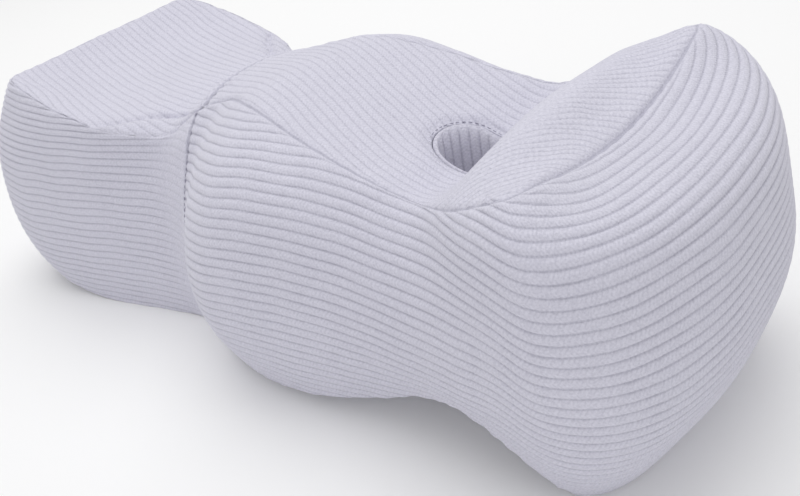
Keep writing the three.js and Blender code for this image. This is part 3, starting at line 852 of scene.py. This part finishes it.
def evenly(line, step):
    """Points along a line of points at equal distances of about step, and the line's direction there, taken
    over a millimetre."""
    gone = np.concatenate([[0], np.cumsum(np.linalg.norm(np.diff(line, axis=0), axis=1))])
    at = np.linspace(0, gone[-1], int(gone[-1] / step) + 1)[:-1] + step / 2
    points = np.stack([np.interp(at, gone, line[:, k]) for k in range(3)], 1)
    ahead = np.stack([np.interp(at + 0.5, gone, line[:, k]) for k in range(3)], 1)
    behind = np.stack([np.interp(at - 0.5, gone, line[:, k]) for k in range(3)], 1)
    direction = ahead - behind
    return points, direction / np.linalg.norm(direction, axis=1, keepdims=True)


def waist_line(side):
    """The waist seam on one long side: on the wall, the place u for each v at which x is WAIST_X, lifted a
    little out of the seam. The near side's line is mirrored for the far side."""
    v = np.linspace(-WALL_REACH, WALL_REACH, LINE_POINTS)
    u = np.linspace(*WAIST_SEARCH, 60)
    x = wall_point(*np.meshgrid(u, v, indexing="ij"))[..., 0]
    at = np.array([np.interp(WAIST_X, column, u) for column in x.T])
    line = wall_point(at, v)
    share = swell_share(line[:, 2], (1 - np.abs(v)) * WALL_HALF)
    pull = waist_pull(np.array(WAIST_X), "wall") * share - STITCH_LIFT
    return (line - normal_at(wall_point, at, v) * pull[:, None]) * (1, side, 1)


def panel_line(surface, ends, part, outward):
    """The waist seam across the top or the bottom panel, which the ground presses flat."""
    b = np.linspace(-PANEL_REACH, PANEL_REACH, LINE_POINTS)
    a = np.full_like(b, WAIST_X / ends["reach"][0])
    line = surface(a, b)
    line[:, 2] = np.maximum(line[:, 2], 0)
    return line - normal_at(surface, a, b, outward) * (waist_pull(np.array(WAIST_X), part) - STITCH_LIFT)


def rim_line():
    """A line round the slot's upper mouth, on the cover just outside its cut edge."""
    s = np.linspace(0, SLOT_ROUND, 200)
    x, y = slot_outline(s, LINING_THICKNESS + LINING_GAP + STITCH_INSET)
    z = rim_height(x, y, top_point, TOP_ENDS, "seam_half") - lip_pull(x, y)
    return np.stack([x, y, z], -1)


def stitch_mesh(lines):
    """Each stitch is a capsule: rings whose radius is STITCH_RADIUS times the root of the sine of an angle,
    at minus its cosine along the thread, between two poles. The angle runs from 0 to half a turn."""
    rows = [evenly(line, STITCH_STEP) for line in lines]
    places, directions = (np.concatenate(part) for part in zip(*rows))
    clear = places[:, 2] > 2 * STITCH_RADIUS
    places, directions = places[clear], directions[clear]
    around, rings = STITCH_AROUND, STITCH_RINGS
    angle = np.linspace(0, math.pi, rings + 2)[1:-1]
    turn = np.arange(around) * 2 * math.pi / around
    along_no_seam = (0.3, 0.4, 0.87)
    side = np.cross(directions, along_no_seam)
    side /= np.linalg.norm(side, axis=1, keepdims=True)
    other = np.cross(directions, side)
    outward = side[:, None] * np.cos(turn)[:, None] + other[:, None] * np.sin(turn)[:, None]
    ring_centre = places[:, None] - directions[:, None] * (np.cos(angle) * STITCH_LENGTH / 2)[:, None]
    ring_radius = STITCH_RADIUS * np.sqrt(np.sin(angle))
    rounds = ring_centre[:, :, None] + outward[:, None] * ring_radius[:, None, None]
    poles = places[:, None] + directions[:, None] * (np.array([-1, 1]) * STITCH_LENGTH / 2)[:, None]
    points = np.concatenate([rounds.reshape(len(places), -1, 3), poles], 1)
    ring = np.arange(rings)[:, None] * around + np.arange(around + 1) % around
    body = grid_triangles(ring)[:, ::-1]
    first, last = rings * around, rings * around + 1
    low = np.stack([np.full(around, first), ring[0, 1:], ring[0, :-1]], -1)
    high = np.stack([np.full(around, last), ring[-1, :-1], ring[-1, 1:]], -1)
    one = np.concatenate([body, low, high])
    triangles = (one[None] + (np.arange(len(places)) * points.shape[1])[:, None, None]).reshape(-1, 3)
    uv = np.zeros((len(triangles), 3, 2))
    return mesh_from("seam_stitches", points.reshape(-1, 3), triangles, uv, {})


stitches = bpy.data.objects.new("seam_stitches", stitch_mesh([
    waist_line(1), waist_line(-1), panel_line(top_point, TOP_ENDS, "top", 1),
    panel_line(under_point, UNDER_ENDS, "under", -1), rim_line()]))
bpy.context.collection.objects.link(stitches)
thread, thread_tree, thread_shader = new_material("sewing_thread", THREAD_ROUGHNESS)
twist = noise_node(thread_tree, TWIST_SCALE, 2)
thread_colour = mix_colour(thread_tree, twist, THREAD_LIGHT, THREAD_SHADE)
thread_tree.links.new(thread_colour, thread_shader.inputs["Base Color"])
stitches.data.materials.append(thread)
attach(stitches, "root")

# The studio
# A pale floor under a white sky, with a broad soft light overhead and a weaker one from the camera's side.
FLOOR_HALF = 4.0
FLOOR_COLOUR, FLOOR_ROUGHNESS = (0.93, 0.93, 0.93, 1), 0.9
SKY_COLOUR, SKY_STRENGTH = (1, 1, 1, 1), 0.55
PILLOW_MIDDLE = Vector((0, 0, 0.08))
floor_mesh = bpy.data.meshes.new("floor")
floor_signs = np.array([(-1, -1, 0), (1, -1, 0), (1, 1, 0), (-1, 1, 0)])
floor_mesh.from_pydata((floor_signs * FLOOR_HALF).tolist(), [], [(0, 1, 2, 3)])
floor = bpy.data.objects.new("floor", floor_mesh)
bpy.context.collection.objects.link(floor)
floor_material, _, floor_shader = new_material("pale_floor", FLOOR_ROUGHNESS)
floor_shader.inputs["Base Color"].default_value = FLOOR_COLOUR
floor.data.materials.append(floor_material)

world = bpy.data.worlds.new("white_sky")
world.use_nodes = True
sky = world.node_tree.nodes["Background"]
sky.inputs["Color"].default_value = SKY_COLOUR
sky.inputs["Strength"].default_value = SKY_STRENGTH
bpy.context.scene.world = world


def soft_light(name, place, size, power):
    """A square area light at a place in metres, turned to the pillow's middle."""
    lamp = bpy.data.lights.new(name, "AREA")
    lamp.size = size
    lamp.energy = power
    light = bpy.data.objects.new(name, lamp)
    light.location = place
    light.rotation_euler = (PILLOW_MIDDLE - Vector(place)).to_track_quat("-Z", "Y").to_euler()
    bpy.context.collection.objects.link(light)


soft_light("overhead", place=(-0.3, 0.3, 1.6), size=1.6, power=16)
soft_light("front_fill", place=(0.9, -1.4, 0.9), size=1.2, power=5)

# The camera
# It looks down on the pillow's near side from beyond the ridge's end, tilted a little as the photo is.
AZIMUTH, ELEVATION, ROLL = (math.radians(angle) for angle in (44.07, 34.21, 10.73))
CAMERA_PLACE = np.array([0.3071, -0.2799, 0.3024])
LENS, SENSOR_WIDTH = 39.34, 36
right = np.array([math.cos(AZIMUTH), math.sin(AZIMUTH), 0])
back = np.array([
    math.sin(AZIMUTH) * math.cos(ELEVATION), -math.cos(AZIMUTH) * math.cos(ELEVATION), math.sin(ELEVATION),
])
up = np.cross(back, right)
tilted_right = math.cos(ROLL) * right - math.sin(ROLL) * up
tilted_up = math.sin(ROLL) * right + math.cos(ROLL) * up
camera_data = bpy.data.cameras.new("camera")
camera_data.sensor_width = SENSOR_WIDTH
camera_data.lens = LENS
camera_data.clip_start, camera_data.clip_end = 0.01, 50
camera = bpy.data.objects.new("camera", camera_data)
camera.matrix_world = Matrix.LocRotScale(
    Vector(CAMERA_PLACE), Matrix(np.stack([tilted_right, tilted_up, back], 1).tolist()), None)
bpy.context.collection.objects.link(camera)
bpy.context.scene.camera = camera
bpy.context.scene.view_settings.view_transform = "Standard"
